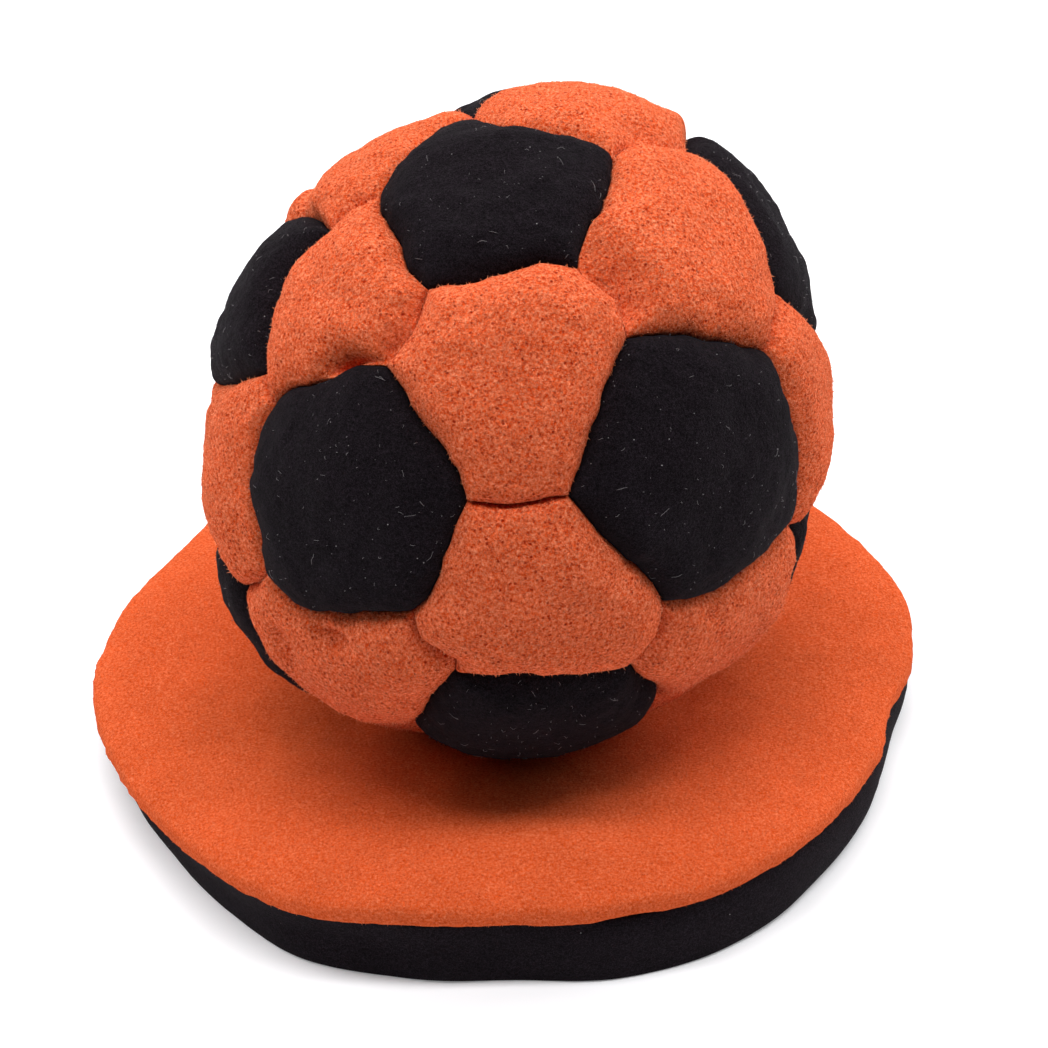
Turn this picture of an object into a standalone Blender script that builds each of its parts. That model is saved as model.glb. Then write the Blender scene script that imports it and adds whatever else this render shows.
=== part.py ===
# A footbag set: a stitched 32-panel suede ball that rests on a flat, round suede bag.
# Metres, +Z up. The origin is the middle of the flat bag's underside, and the front faces -Y.

import random
from math import cos, pi, radians, sin, sqrt, tau

import bmesh
import bpy
from mathutils import Matrix, Vector

MM = 0.001

# Suede, thread and fit, the same in both bags
SUEDE = 0.9 * MM
ALLOWANCE = 2.0 * MM
THREAD = 0.5 * MM
GAP = 0.3 * MM
FILL_CLEARANCE = 0.5 * MM

# Ball, measured over the middles of its panels. Seen from the front, 35 degrees above level,
# it is a little longer along a line that leans up to the right
VIEW_HEIGHT = 34.6
BALL_LENGTH = 58.8 * MM
BALL_WIDTH = 53.0 * MM
BALL_DEPTH = 56.0 * MM
LENGTH_LEAN = 62.7
BALL_OFFSET_X = 2.1 * MM
BALL_OFFSET_Y = -1.7 * MM

# Puffed panels: a rounded shoulder beside each seam, then a low crown
SHOULDER_RISE = 1.4 * MM
SHOULDER_WIDTH = 3.2 * MM
CROWN_RISE = 0.3 * MM
SEAM_BOW = 0.5 * MM
SHOULDER_SHARES = (0, 0.12, 0.45, 1)

# Seams: an icosahedron whose corners are cut off, turned as the ball lies
CUT_SHARE = 0.398
BALL_SPIN = -21.7
BALL_LEAN = 8.5
BALL_LEAN_TOWARD = -101.8
LONG_SEAM_PARTS = 3
SHORT_SEAM_PARTS = 2
INNER_LONG_PARTS = 2
INNER_SHORT_PARTS = 1

# Seam corners that the front view shows, to the right of the ball's middle and upward
# from it, as shares of a unit ball that is then stretched to this one's shape
SEEN_CORNER_SHARES = (
    (0.88, -0.39), (-0.25, 0.39), (0.18, 0.41), (0.29, 0.72), (-0.40, 0.67), (-0.12, 0.89),
    (-0.37, 0.19), (-0.14, -0.19), (-0.30, -0.48), (-0.77, -0.34), (-0.71, 0.12), (0.32, 0.21),
    (0.15, -0.20), (0.43, -0.52), (0.81, -0.33), (0.73, 0.15), (-0.18, -0.66), (0.34, -0.69),
    (0.44, -0.85), (-0.34, -0.88), (-0.56, 0.60), (-0.73, 0.21), (0.54, 0.75), (0.80, 0.32),
    (-0.84, -0.41), (-0.63, 0.71),
)
FULL_TRUST_SHARE = 0.8
CORNER_WANDER_SHARE = 0.03
CORNER_SEED = 32

# Flat bag: two round panels sewn together at a rolled rim
DISC_RADIUS = 37.3 * MM
DISC_SAG_HEIGHT = 6.0 * MM
SEAM_HEIGHT = 5.8 * MM
SEAM_RECESS = 1.1 * MM
TOP_ROLL_WIDTH = 2.2 * MM
TOP_ROLL_HEIGHT = 3.6 * MM
BOTTOM_ROLL_WIDTH = 3.0 * MM
SEAT_HEIGHT = 4.6 * MM
SAG_POWER = 2.5
CREASE_ANGLE = 50
DISC_PARTS = 40
THREAD_SIDES = 4

# The rim's uneven outline every 15 degrees and its seam height every 30, from +X toward +Y
RIM_SHARES = (
    1.016, 1.022, 1.000, 0.992, 1.008, 0.995, 0.982, 0.990, 1.008, 1.000, 0.981, 1.005,
    1.017, 0.993, 0.984, 1.001, 1.023, 0.995, 0.976, 1.011, 1.023, 1.005, 0.983, 0.970,
)
SEAM_HEIGHT_SHARES = (0.90, 0.94, 1.00, 0.98, 1.02, 0.95, 0.90, 0.88, 1.04, 1.16, 1.18, 0.92)

# Rings of the flat bag's top, as shares of the way from its middle to its rim
TOP_RING_SHARES = (0.14, 0.28, 0.44, 0.62, 0.82)
INNER_RING_SHARES = (0.3, 0.62)

# Points round each roll of the rim, in degrees above level: the outer face, then the inner
TOP_ROLL_TURNS = (-15, 20, 55, 90)
TOP_LINING_TURN = 20
BOTTOM_ROLL_TURNS = (-90, -60, -30, 10)
BOTTOM_LINING_TURNS = (0, -50)

# Colours are linear: red, green, blue, then roughness
ORANGE_SUEDE = (0.62, 0.105, 0.035, 0.95)
BLACK_SUEDE = (0.012, 0.010, 0.012, 0.95)
FILLING_PELLETS = (0.75, 0.73, 0.68, 0.6)
SEWING_THREAD = (0.02, 0.02, 0.02, 0.7)

PANEL_RISE = SHOULDER_RISE + CROWN_RISE

VIEW_RIGHT = Vector((1, 0, 0))
VIEW_UP = Vector((0, sin(radians(VIEW_HEIGHT)), cos(radians(VIEW_HEIGHT))))
VIEW_TOWARD = VIEW_RIGHT.cross(VIEW_UP)


# The matrix that makes a unit ball into the ellipsoid a given depth under the panels' middles
def ellipsoid(depth):
    lean = radians(LENGTH_LEAN)
    along = VIEW_RIGHT * cos(lean) + VIEW_UP * sin(lean)
    across = VIEW_TOWARD.cross(along)
    shape = Matrix.Diagonal((0, 0, 0))
    for axis, size in ((along, BALL_LENGTH), (across, BALL_WIDTH), (VIEW_TOWARD, BALL_DEPTH)):
        half = size / 2 - depth
        shape += Matrix([[axis[row] * axis[column] * half for column in range(3)] for row in range(3)])
    return shape


PANEL_SHAPE = ellipsoid(0)
SEAM_SHAPE = ellipsoid(PANEL_RISE)
BALL_HALF_HEIGHT = (PANEL_SHAPE @ Vector((0, 0, 1))).length
BALL_CENTRE = Vector((BALL_OFFSET_X, BALL_OFFSET_Y, SEAT_HEIGHT + GAP + BALL_HALF_HEIGHT))


# Where a line through a point leaves an ellipsoid, or the nearest that it comes to it
def leave_point(shape, start, along):
    base = shape.inverted() @ start
    step = shape.inverted() @ along
    square = step.dot(step)
    half = base.dot(step)
    reach = sqrt(max(0, half * half - square * (base.dot(base) - 1)))
    return start + along * ((reach - half) / square)


def material(name, look):
    made = bpy.data.materials.new(name)
    made.use_nodes = True
    shader = made.node_tree.nodes["Principled BSDF"]
    shader.inputs["Base Color"].default_value = (*look[:3], 1)
    shader.inputs["Roughness"].default_value = look[3]
    shader.inputs["Metallic"].default_value = 0
    return made


# Turns a bmesh into a named object under its bag's empty
def add_object(name, bm, look, parent):
    bmesh.ops.recalc_face_normals(bm, faces=bm.faces)
    mesh = bpy.data.meshes.new(name)
    bm.to_mesh(mesh)
    bm.free()
    mesh.shade_smooth()
    mesh.materials.append(look)
    made = bpy.data.objects.new(name, mesh)
    made.parent = parent
    bpy.context.collection.objects.link(made)
    return made


def add_empty(name, place):
    made = bpy.data.objects.new(name, None)
    made.location = place
    bpy.context.collection.objects.link(made)
    return made


# Skins closed rings of equal count in order, with a fan to a middle point at both ends
def loft(rings, first_middle=None, last_middle=None):
    bm = bmesh.new()
    rows = [[bm.verts.new(point) for point in ring] for ring in rings]
    count = len(rows[0])
    pairs = list(zip(rows, rows[1:]))
    if first_middle is None:
        pairs.append((rows[-1], rows[0]))
    for lower, upper in pairs:
        for k in range(count):
            bm.faces.new((lower[k - 1], lower[k], upper[k], upper[k - 1]))
    if first_middle is not None:
        for row, middle in ((rows[0], first_middle), (rows[-1], last_middle)):
            hub = bm.verts.new(middle)
            for k in range(count):
                bm.faces.new((row[k - 1], row[k], hub))
    return bm


# Ball


# Moves a point along its ray from the ball's middle onto the ellipsoid of the seams
def on_seams(point):
    return point / (SEAM_SHAPE.inverted() @ point).length


# Puts the corners that the front view shows where they lie, less so toward the ball's edge,
# where it shows them least well, and lets the hidden ones wander
def place_corners(corners):
    free = list(corners)
    for right_share, up_share in SEEN_CORNER_SHARES:
        seen = PANEL_SHAPE @ (VIEW_RIGHT * right_share + VIEW_UP * up_share)
        place = SEAM_SHAPE.inverted() @ leave_point(SEAM_SHAPE, seen, VIEW_TOWARD)
        nearest = min(free, key=lambda corner: (corner.co - place).length)
        trust = min(1, max(0, nearest.co.dot(VIEW_TOWARD)) / FULL_TRUST_SHARE)
        nearest.co = nearest.co.lerp(place, trust).normalized()
        free.remove(nearest)
    chance = random.Random(CORNER_SEED)
    for corner in free:
        wander = Vector([chance.uniform(-1, 1) for _ in range(3)]) * CORNER_WANDER_SHARE
        corner.co = (corner.co + wander).normalized()


# The closed net of seams: 12 pentagons and 20 hexagons, counted from the top of the ball
# down before the sizes shape them, with their sides cut into parts
def seam_net(long_parts, short_parts):
    bm = bmesh.new()
    bmesh.ops.create_icosphere(bm, subdivisions=1, radius=1)
    bmesh.ops.bevel(bm, geom=bm.verts[:], offset=100 * CUT_SHARE, offset_type="PERCENT",
                    affect="VERTICES", segments=1)
    turn = (Matrix.Rotation(radians(BALL_LEAN_TOWARD), 4, "Z")
            @ Matrix.Rotation(radians(BALL_LEAN), 4, "Y")
            @ Matrix.Rotation(radians(BALL_SPIN), 4, "Z"))
    bmesh.ops.transform(bm, matrix=turn, verts=bm.verts)
    bm.faces.sort(key=lambda face: -face.calc_center_median().z)
    for corner in bm.verts:
        corner.co.normalize()
    place_corners(bm.verts)
    for corner in bm.verts:
        corner.co = SEAM_SHAPE @ corner.co
    plan = []
    for edge in bm.edges:
        pentagons = [face.calc_center_median() for face in edge.link_faces if len(face.verts) == 5]
        plan.append((edge, pentagons))
    for edge, pentagons in plan:
        parts = long_parts if pentagons else short_parts
        if parts > 1:
            split_seam(bm, edge, parts, pentagons)
    for vert in bm.verts:
        vert.co = on_seams(vert.co)
    return bm


# Cuts one seam into parts, and bows it out of its pentagon
def split_seam(bm, edge, parts, pentagons):
    start, end = [vert.co.copy() for vert in edge.verts]
    added = bmesh.ops.bisect_edges(bm, edges=[edge], cuts=parts - 1)["geom_split"]
    for vert in [item for item in added if isinstance(item, bmesh.types.BMVert)]:
        share = (vert.co - start).length / (end - start).length
        for middle in pentagons:
            outward = ((start + end) / 2 - middle).normalized()
            vert.co += outward * SEAM_BOW * sin(pi * share)


# For each point of a panel's seam, the step that moves it one length in from the seam's
# upright planes on both sides, so that neighbours stay parallel right down their flanges
def inward_steps(seam):
    walls = [seam[k].cross(seam[(k + 1) % len(seam)]).normalized() for k in range(len(seam))]
    steps = []
    for k in range(len(seam)):
        before, after = walls[k - 1], walls[k]
        steps.append((before + after) / (1 + before.dot(after)))
    return steps


def panel_ring(seam, steps, inset, rise):
    ring = []
    for point, step in zip(seam, steps):
        ring.append(on_seams(point + step * inset) + point.normalized() * rise)
    return ring


# Height of a panel's outer face above the seams, a quarter round over the shoulder's width
def shoulder(inset):
    share = min(1, max(0, inset - GAP / 2) / SHOULDER_WIDTH)
    return SHOULDER_RISE * sqrt(1 - (1 - share) ** 2)


# One puffed panel, from its inner face round the turned-in allowance to its outer face
def panel(seam):
    steps = inward_steps(seam)
    middle = on_seams(sum(seam, Vector()) / len(seam))
    edge = GAP / 2
    inner_edge = edge + SUEDE
    rings = [
        panel_ring(seam, steps, inner_edge, shoulder(inner_edge) - SUEDE),
        panel_ring(seam, steps, inner_edge, -ALLOWANCE),
        panel_ring(seam, steps, edge, -ALLOWANCE),
    ]
    for share in SHOULDER_SHARES:
        inset = edge + SHOULDER_WIDTH * share
        rings.append(panel_ring(seam, steps, inset, shoulder(inset)))
    up = middle.normalized()
    return loft(rings, middle + up * (PANEL_RISE - SUEDE), middle + up * PANEL_RISE)


# Pentagons then hexagons, each numbered in the order of the net
def add_panels(ball, orange, black):
    net = seam_net(LONG_SEAM_PARTS, SHORT_SEAM_PARTS)
    groups = {"pentagon": [], "hexagon": []}
    for face in net.faces:
        corner_count = sum(1 for vert in face.verts if len(vert.link_edges) == 3)
        kind = "pentagon" if corner_count == 5 else "hexagon"
        groups[kind].append([vert.co.copy() for vert in face.verts])
    net.free()
    looks = {"pentagon": black, "hexagon": orange}
    for kind, seams in groups.items():
        for number, seam in enumerate(seams, 1):
            add_object(f"{kind}_panel_{number:02d}", panel(seam), looks[kind], ball)


# The packed filling fills each panel's pillow and leaves a groove for every seam's flanges
def add_ball_filling(ball, look):
    net = seam_net(INNER_LONG_PARTS, INNER_SHORT_PARTS)
    floor = ALLOWANCE + GAP + THREAD + GAP
    for vert in net.verts:
        vert.co -= vert.co.normalized() * floor
    half_groove = GAP / 2 + SUEDE + FILL_CLEARANCE
    faces = net.faces[:]
    bmesh.ops.inset_individual(net, faces=faces, thickness=half_groove, use_even_offset=True)
    tops = bmesh.ops.extrude_discrete_faces(net, faces=faces)["faces"]
    edge_rise = shoulder(half_groove) - SUEDE - FILL_CLEARANCE
    for face in tops:
        for vert in face.verts:
            vert.co += vert.co.normalized() * (floor + edge_rise)
    hubs = bmesh.ops.poke(net, faces=tops)["verts"]
    for hub in hubs:
        up = hub.co.normalized()
        hub.co = on_seams(hub.co) + up * (PANEL_RISE - SUEDE - FILL_CLEARANCE)
    add_object("ball_filling", net, look, ball)


# The sewing thread runs under the flanges along all 90 seams as one net
def add_ball_thread(ball, look):
    net = seam_net(INNER_LONG_PARTS, INNER_SHORT_PARTS)
    for vert in net.verts:
        vert.co -= vert.co.normalized() * (ALLOWANCE + GAP + THREAD / 2)
    made = add_object("ball_seam_thread", net, look, ball)
    wires = made.modifiers.new("wires", "WIREFRAME")
    wires.thickness = THREAD
    wires.use_even_offset = True
    wires.use_relative_offset = False
    wires.use_replace = True


def add_ball(orange, black, pellets, thread):
    ball = add_empty("ball", BALL_CENTRE)
    add_panels(ball, orange, black)
    add_ball_filling(ball, pellets)
    add_ball_thread(ball, thread)


# Flat bag


# A smooth closed curve through shares that are spaced evenly round the bag
def wave(shares, angle):
    place = angle / tau * len(shares)
    first = int(place)
    part = place - first
    a, b, c, d = [shares[(first + k) % len(shares)] for k in (-1, 0, 1, 2)]
    bend = 2 * a - 5 * b + 4 * c - d + part * (3 * (b - c) + d - a)
    return b + part / 2 * (c - a + part * bend)


# The rim's widest points, halved, centre the outline on the origin
def rim_shift():
    reach = []
    for k in range(DISC_PARTS):
        angle = tau * k / DISC_PARTS
        radius = DISC_RADIUS * wave(RIM_SHARES, angle)
        reach.append((radius * cos(angle), radius * sin(angle)))
    columns = list(zip(*reach))
    return [(min(column) + max(column)) / 2 for column in columns]


RIM_SHIFT = rim_shift()


def seam_height(angle):
    return SEAM_HEIGHT * wave(SEAM_HEIGHT_SHARES, angle)


def disc_point(angle, radius, height):
    reach = radius * wave(RIM_SHARES, angle)
    return Vector((reach * cos(angle) - RIM_SHIFT[0], reach * sin(angle) - RIM_SHIFT[1], height))


# Turns profiles of (radius, height) pairs, one at each angle, into rings round the bag
def disc_rings(profile_at):
    angles = [tau * k / DISC_PARTS for k in range(DISC_PARTS)]
    columns = []
    for angle in angles:
        columns.append([disc_point(angle, *pair) for pair in profile_at(angle)])
    return [list(ring) for ring in zip(*columns)]


# The underside of the ball above a point, less the gap
def ball_floor(point):
    start = Vector((point.x - BALL_CENTRE.x, point.y - BALL_CENTRE.y, 0))
    lowest = leave_point(PANEL_SHAPE, start, Vector((0, 0, -1)))
    return BALL_CENTRE.z + lowest.z - GAP


# A rolled edge's point, on an ellipse about the roll's middle
def roll_point(middle, half_width, half_height, angle):
    return (middle[0] + half_width * cos(radians(angle)),
            middle[1] + half_height * sin(radians(angle)))


SEAM_RADIUS = DISC_RADIUS - SEAM_RECESS
PEAK_RADIUS = SEAM_RADIUS - TOP_ROLL_WIDTH * cos(radians(CREASE_ANGLE))
THREAD_RADIUS = SEAM_RADIUS - ALLOWANCE - GAP - THREAD / 2
FILLING_RADIUS = THREAD_RADIUS - THREAD / 2 - GAP


# A roll between two heights that leaves its crease at CREASE_ANGLE: its middle and half height
def roll_between(crease_height, far_height):
    half = abs(far_height - crease_height) / (1 + sin(radians(CREASE_ANGLE)))
    side = 1 if crease_height > far_height else -1
    return far_height + side * half, half


# Height of the slack top at a share of the way out, before the ball dents it
def slack_height(angle, share):
    peak = seam_height(angle) + TOP_ROLL_HEIGHT
    return DISC_SAG_HEIGHT + (peak - DISC_SAG_HEIGHT) * share ** SAG_POWER


# Lowers a ring of the top where the ball lies on it
def dent(ring, depth):
    for point in ring:
        point.z = min(point.z, ball_floor(point) - depth)
    return ring


def top_profile(angle):
    crease = seam_height(angle) + GAP / 2
    peak = seam_height(angle) + TOP_ROLL_HEIGHT
    height, half = roll_between(crease, peak)
    middle = (PEAK_RADIUS, height)
    flange = SEAM_RADIUS - ALLOWANCE
    pairs = [(PEAK_RADIUS * share, slack_height(angle, share) - SUEDE) for share in INNER_RING_SHARES]
    pairs.append((flange, peak - SUEDE))
    pairs.append(roll_point(middle, TOP_ROLL_WIDTH - SUEDE, half - SUEDE, TOP_LINING_TURN))
    pairs.append((SEAM_RADIUS - SUEDE, crease + SUEDE))
    pairs.append((flange, crease + SUEDE))
    pairs.append((flange, crease))
    for turn in (-CREASE_ANGLE, *TOP_ROLL_TURNS):
        pairs.append(roll_point(middle, TOP_ROLL_WIDTH, half, turn))
    for share in reversed(TOP_RING_SHARES):
        pairs.append((PEAK_RADIUS * share, slack_height(angle, share)))
    return pairs


def add_top_panel(disc, look):
    rings = disc_rings(top_profile)
    for ring in rings[:len(INNER_RING_SHARES)]:
        dent(ring, SUEDE)
    for ring in rings[-len(TOP_RING_SHARES):]:
        dent(ring, 0)
    outer_middle = Vector((-RIM_SHIFT[0], -RIM_SHIFT[1], DISC_SAG_HEIGHT))
    inner_middle = outer_middle - Vector((0, 0, SUEDE))
    dent([outer_middle], 0)
    dent([inner_middle], SUEDE)
    add_object("disc_top_panel", loft(rings, inner_middle, outer_middle), look, disc)


def bottom_profile(angle):
    crease = seam_height(angle) - GAP / 2
    height, half = roll_between(crease, 0)
    middle = (SEAM_RADIUS - BOTTOM_ROLL_WIDTH * cos(radians(CREASE_ANGLE)), height)
    flange = SEAM_RADIUS - ALLOWANCE
    turns = (*BOTTOM_ROLL_TURNS, CREASE_ANGLE)
    pairs = [roll_point(middle, BOTTOM_ROLL_WIDTH, half, turn) for turn in turns]
    pairs.append((flange, crease))
    pairs.append((flange, crease - SUEDE))
    pairs.append((SEAM_RADIUS - SUEDE, crease - SUEDE))
    for turn in BOTTOM_LINING_TURNS:
        pairs.append(roll_point(middle, BOTTOM_ROLL_WIDTH - SUEDE, half - SUEDE, turn))
    pairs.append((middle[0], SUEDE))
    return pairs


def add_bottom_panel(disc, look):
    outer_middle = Vector((-RIM_SHIFT[0], -RIM_SHIFT[1], 0))
    inner_middle = outer_middle + Vector((0, 0, SUEDE))
    made = loft(disc_rings(bottom_profile), outer_middle, inner_middle)
    add_object("disc_bottom_panel", made, look, disc)


def add_disc(orange, black, pellets, thread):
    disc = add_empty("disc", (0, 0, 0))
    add_top_panel(disc, orange)
    add_bottom_panel(disc, black)
    add_disc_filling(disc, pellets)
    add_disc_thread(disc, thread)


# The filling reaches under the bottom flange, and stands back from the seam's thread
def filling_profile(angle):
    crease = seam_height(angle)
    shelf = crease - GAP / 2 - SUEDE - FILL_CLEARANCE
    floor = SUEDE + FILL_CLEARANCE
    peak = crease + TOP_ROLL_HEIGHT
    pairs = [
        (FILLING_RADIUS, floor),
        (SEAM_RADIUS - SUEDE - FILL_CLEARANCE, (floor + shelf) / 2),
        (FILLING_RADIUS, shelf),
        (FILLING_RADIUS, peak - SUEDE - FILL_CLEARANCE),
    ]
    for share in reversed(INNER_RING_SHARES):
        height = slack_height(angle, share) - SUEDE - FILL_CLEARANCE
        pairs.append((PEAK_RADIUS * share, height))
    return pairs


def add_disc_filling(disc, look):
    rings = disc_rings(filling_profile)
    for ring in rings[-len(INNER_RING_SHARES):]:
        dent(ring, SUEDE + FILL_CLEARANCE)
    floor_middle = Vector((-RIM_SHIFT[0], -RIM_SHIFT[1], SUEDE + FILL_CLEARANCE))
    top_middle = Vector((-RIM_SHIFT[0], -RIM_SHIFT[1], DISC_SAG_HEIGHT - SUEDE - FILL_CLEARANCE))
    dent([top_middle], SUEDE + FILL_CLEARANCE)
    add_object("disc_filling", loft(rings, floor_middle, top_middle), look, disc)


def thread_profile(angle):
    middle = (THREAD_RADIUS, seam_height(angle))
    turns = [360 * k / THREAD_SIDES for k in range(THREAD_SIDES)]
    return [roll_point(middle, THREAD / 2, THREAD / 2, turn) for turn in turns]


def add_disc_thread(disc, look):
    add_object("disc_seam_thread", loft(disc_rings(thread_profile)), look, disc)


def build():
    for old in list(bpy.data.objects):
        bpy.data.objects.remove(old)
    orange = material("orange_suede", ORANGE_SUEDE)
    black = material("black_suede", BLACK_SUEDE)
    pellets = material("filling_pellets", FILLING_PELLETS)
    thread = material("sewing_thread", SEWING_THREAD)
    add_disc(orange, black, pellets, thread)
    add_ball(orange, black, pellets, thread)


build()
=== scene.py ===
from functools import partial
from math import cos, pi, radians, sin, tau

import bmesh
import bpy
import numpy as np
from mathutils import Matrix, Vector
from mathutils.bvhtree import BVHTree


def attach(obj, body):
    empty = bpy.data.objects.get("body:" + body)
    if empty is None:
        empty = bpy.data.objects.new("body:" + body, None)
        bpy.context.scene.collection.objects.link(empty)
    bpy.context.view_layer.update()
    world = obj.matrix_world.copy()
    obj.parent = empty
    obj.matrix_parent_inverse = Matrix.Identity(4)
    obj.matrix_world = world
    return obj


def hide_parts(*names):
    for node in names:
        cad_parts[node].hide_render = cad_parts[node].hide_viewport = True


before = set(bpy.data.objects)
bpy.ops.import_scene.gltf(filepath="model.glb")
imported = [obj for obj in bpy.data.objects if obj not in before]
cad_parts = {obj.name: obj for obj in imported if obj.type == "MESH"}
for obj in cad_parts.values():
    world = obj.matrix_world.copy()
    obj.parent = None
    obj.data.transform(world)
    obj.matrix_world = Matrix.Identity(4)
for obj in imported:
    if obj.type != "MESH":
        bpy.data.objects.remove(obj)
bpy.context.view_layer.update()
mm, perMetre = 0.001, 1000
scene = bpy.context.scene
print("frame: loaded", len(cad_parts), "nodes")


# Shared tools


# An sRGB hex colour as linear light
def linear(hexColour):
    parts = [int(hexColour[place:place + 2], 16) / 255 for place in (1, 3, 5)]
    return [part / 12.92 if part <= 0.04045 else ((part + 0.055) / 1.055) ** 2.4 for part in parts]


def solid(hexColour):
    return (*linear(hexColour), 1)


# Sets a node's inputs by name or number, or links them where a socket is given
def setInputs(node, inputs):
    for key, value in inputs.items():
        if isinstance(value, bpy.types.NodeSocket):
            node.id_data.links.new(value, node.inputs[key])
        else:
            node.inputs[key].default_value = value


# Adds a shader node with its inputs and settings, and gives back one of its outputs
def addNode(tree, kind, inputs=None, out=0, **settings):
    node = tree.nodes.new("ShaderNode" + kind)
    for key, value in settings.items():
        setattr(node, key, value)
    setInputs(node, inputs or {})
    return node.outputs[out]


# A new material, its shader, and addNode bound to its tree
def newMaterial(name):
    made = bpy.data.materials.new(name)
    made.use_nodes = True
    return made, made.node_tree.nodes["Principled BSDF"], partial(addNode, made.node_tree)


def addObject(name, data):
    made = bpy.data.objects.new(name, data)
    scene.collection.objects.link(made)
    return made


# A smooth random field: one number for each point, with bumps about size apart
def softNoise(points, size, seed):
    cells = 32
    field = np.random.default_rng(seed).uniform(-1, 1, (cells, cells, cells))
    whole = np.floor(points / size).astype(int)
    part = points / size - whole
    part = part * part * (3 - 2 * part)
    total = np.zeros(len(points))
    for corner in np.ndindex(2, 2, 2):
        share = np.where(corner, part, 1 - part)
        near = (whole + corner) % cells
        total += share[:, 0] * share[:, 1] * share[:, 2] * field[near[:, 0], near[:, 1], near[:, 2]]
    return total


def lengths(vectors):
    return np.sqrt((vectors * vectors).sum(axis=-1))


def units(vectors):
    return vectors / lengths(vectors)[..., None]


# A mesh object from points in mm and faces, with its looks, its body and what it stands for
def addPiece(name, points, faces, look, body, nodes=()):
    mesh = bpy.data.meshes.new(name)
    mesh.from_pydata((np.asarray(points) * mm).tolist(), [], faces)
    mesh.validate()
    mesh.shade_smooth()
    mesh.materials.append(look)
    piece = addObject(name, mesh)
    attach(piece, body)
    if nodes:
        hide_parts(*nodes)
    return piece


# Faces between rows of points that go round, all of the same count
def ringFaces(firstRow, rows, count):
    faces = []
    for low in range(firstRow, firstRow + (rows - 1) * count, count):
        high = low + count
        for k in range(count):
            after = (k + 1) % count
            faces.append((low + k, low + after, high + after, high + k))
    return faces


# Faces from a row that goes round to a hub
def hubFaces(row, count, hub):
    return [(row + k, row + (k + 1) % count, hub) for k in range(count)]


# The same rows, closed on a hub below the first of them and on one above the last
def closedFaces(rows, count):
    hub = rows * count
    below = [(b, a, middle) for a, b, middle in hubFaces(0, count, hub)]
    return ringFaces(0, rows, count) + below + hubFaces(hub - count, count, hub + 1)


# A fan of rows round a middle: row r has r points on each of the sectors
def fanFaces(sectors, rows):
    faces = [(0, 1 + k, 1 + (k + 1) % sectors) for k in range(sectors)]
    start = 1
    for row in range(1, rows):
        inner, outer = row * sectors, (row + 1) * sectors
        outerStart = start + inner
        for sector in range(sectors):
            for k in range(row + 1):
                a = outerStart + sector * (row + 1) + k
                b = outerStart + (sector * (row + 1) + k + 1) % outer
                c = start + (sector * row + k) % inner
                faces.append((a, b, c))
                if k < row:
                    faces.append((c, b, start + (sector * row + k + 1) % inner))
        start = outerStart
    return faces


# Materials


# Suede is a split hide or microfibre buffed with fine grit: short curled fibres stand up, so the
# colour is mottled with painted highlights on the lit tips and painted shade in the pores between
# them, with a pale bloom instead of a gloss
suede = {
    "tuft": 0.26,  # mm from one tuft of nap to the next
    "curl": 0.17, "curlReach": 0.16,  # mm: single fibres, coarser than real, and how they curl
    "pore": 0.42,  # mm from one pore between the tufts to the next
    "clump": 0.8, "clumpShare": 1.1,  # mm between matted clumps, and their part of the relief
    "brushed": 3.2,  # mm across the patches where the nap lies another way: painted sheen, lighter or darker
    "poreDepth": 0.55, "curlHeight": 0.4, "bumpStrength": 1.0,  # parts of the relief
    "low": 0.28, "high": 0.72,  # levels of the nap between which its tones run
    "strandWidth": 0.06, "strandShare": 0.5, "poreCore": 0.08,
    "fibreLow": 0.3, "fibreHigh": 0.7,  # levels between which a loose fibre's shade runs
    "roughness": 0.95, "ior": 1.45,
}


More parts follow.
